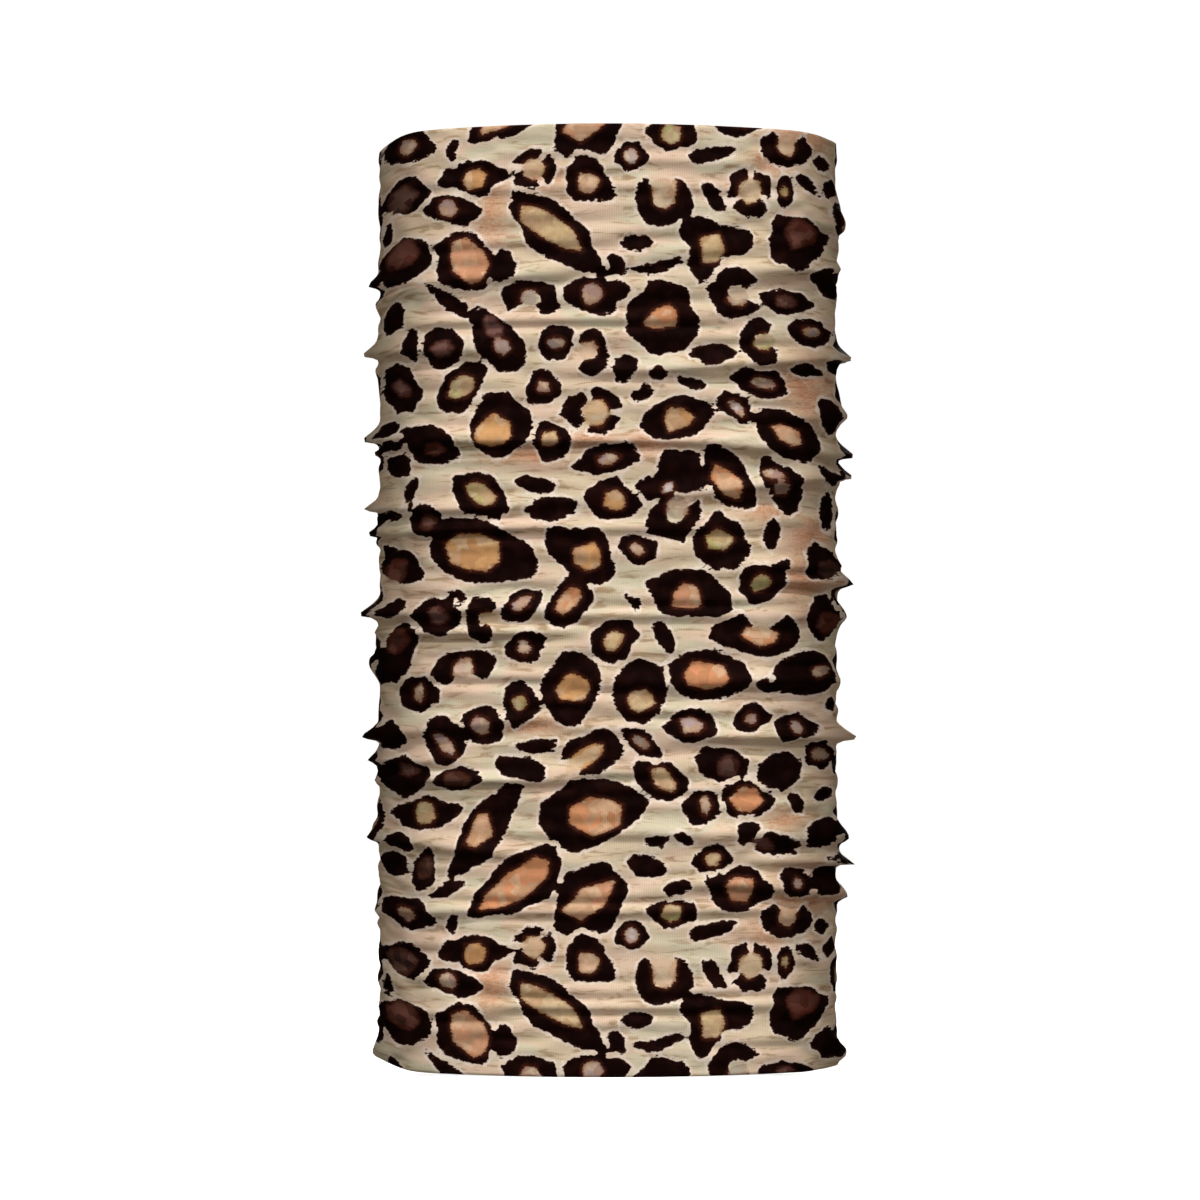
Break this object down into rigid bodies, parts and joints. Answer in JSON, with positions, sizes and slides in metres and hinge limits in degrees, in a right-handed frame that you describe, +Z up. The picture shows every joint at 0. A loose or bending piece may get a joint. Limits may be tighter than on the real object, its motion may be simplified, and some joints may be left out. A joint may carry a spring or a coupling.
{
  "type": "neck gaiter",
  "caption": "Printed knit neck tube, open at both ends, closed by a flat seam at the back, with a small label inside.",
  "frame": {"origin": "centre of the lower opening, on the plane of the lower rim that the tube stands on", "axes": "+Z up the tube's length, -Y towards the front of the tube, +Y towards the seam at the centre back, +X to the right seen from the front"},
  "size_m": [0.2362, 0.0558, 0.49],
  "materials": {
    "printed_knit": "fine polyester jersey printed with a leopard pattern, matte with a soft sheen, unprinted inside",
    "seam_thread": "textured polyester sewing thread, dark brown, matte",
    "label_tape": "woven satin label tape, blank, white, soft sheen",
    "label_thread": "polyester sewing thread, white, matte"
  },
  "bodies": {
    "root": {"tube_panel": "printed_knit", "seam_cover_thread": "seam_thread", "seam_looper_thread": "seam_thread", "seam_left_needle_thread": "seam_thread", "seam_right_needle_thread": "seam_thread", "upper_bartack_thread": "seam_thread", "lower_bartack_thread": "seam_thread", "care_label": "label_tape", "label_tack_thread": "label_thread"}
  },
  "joints": []
}
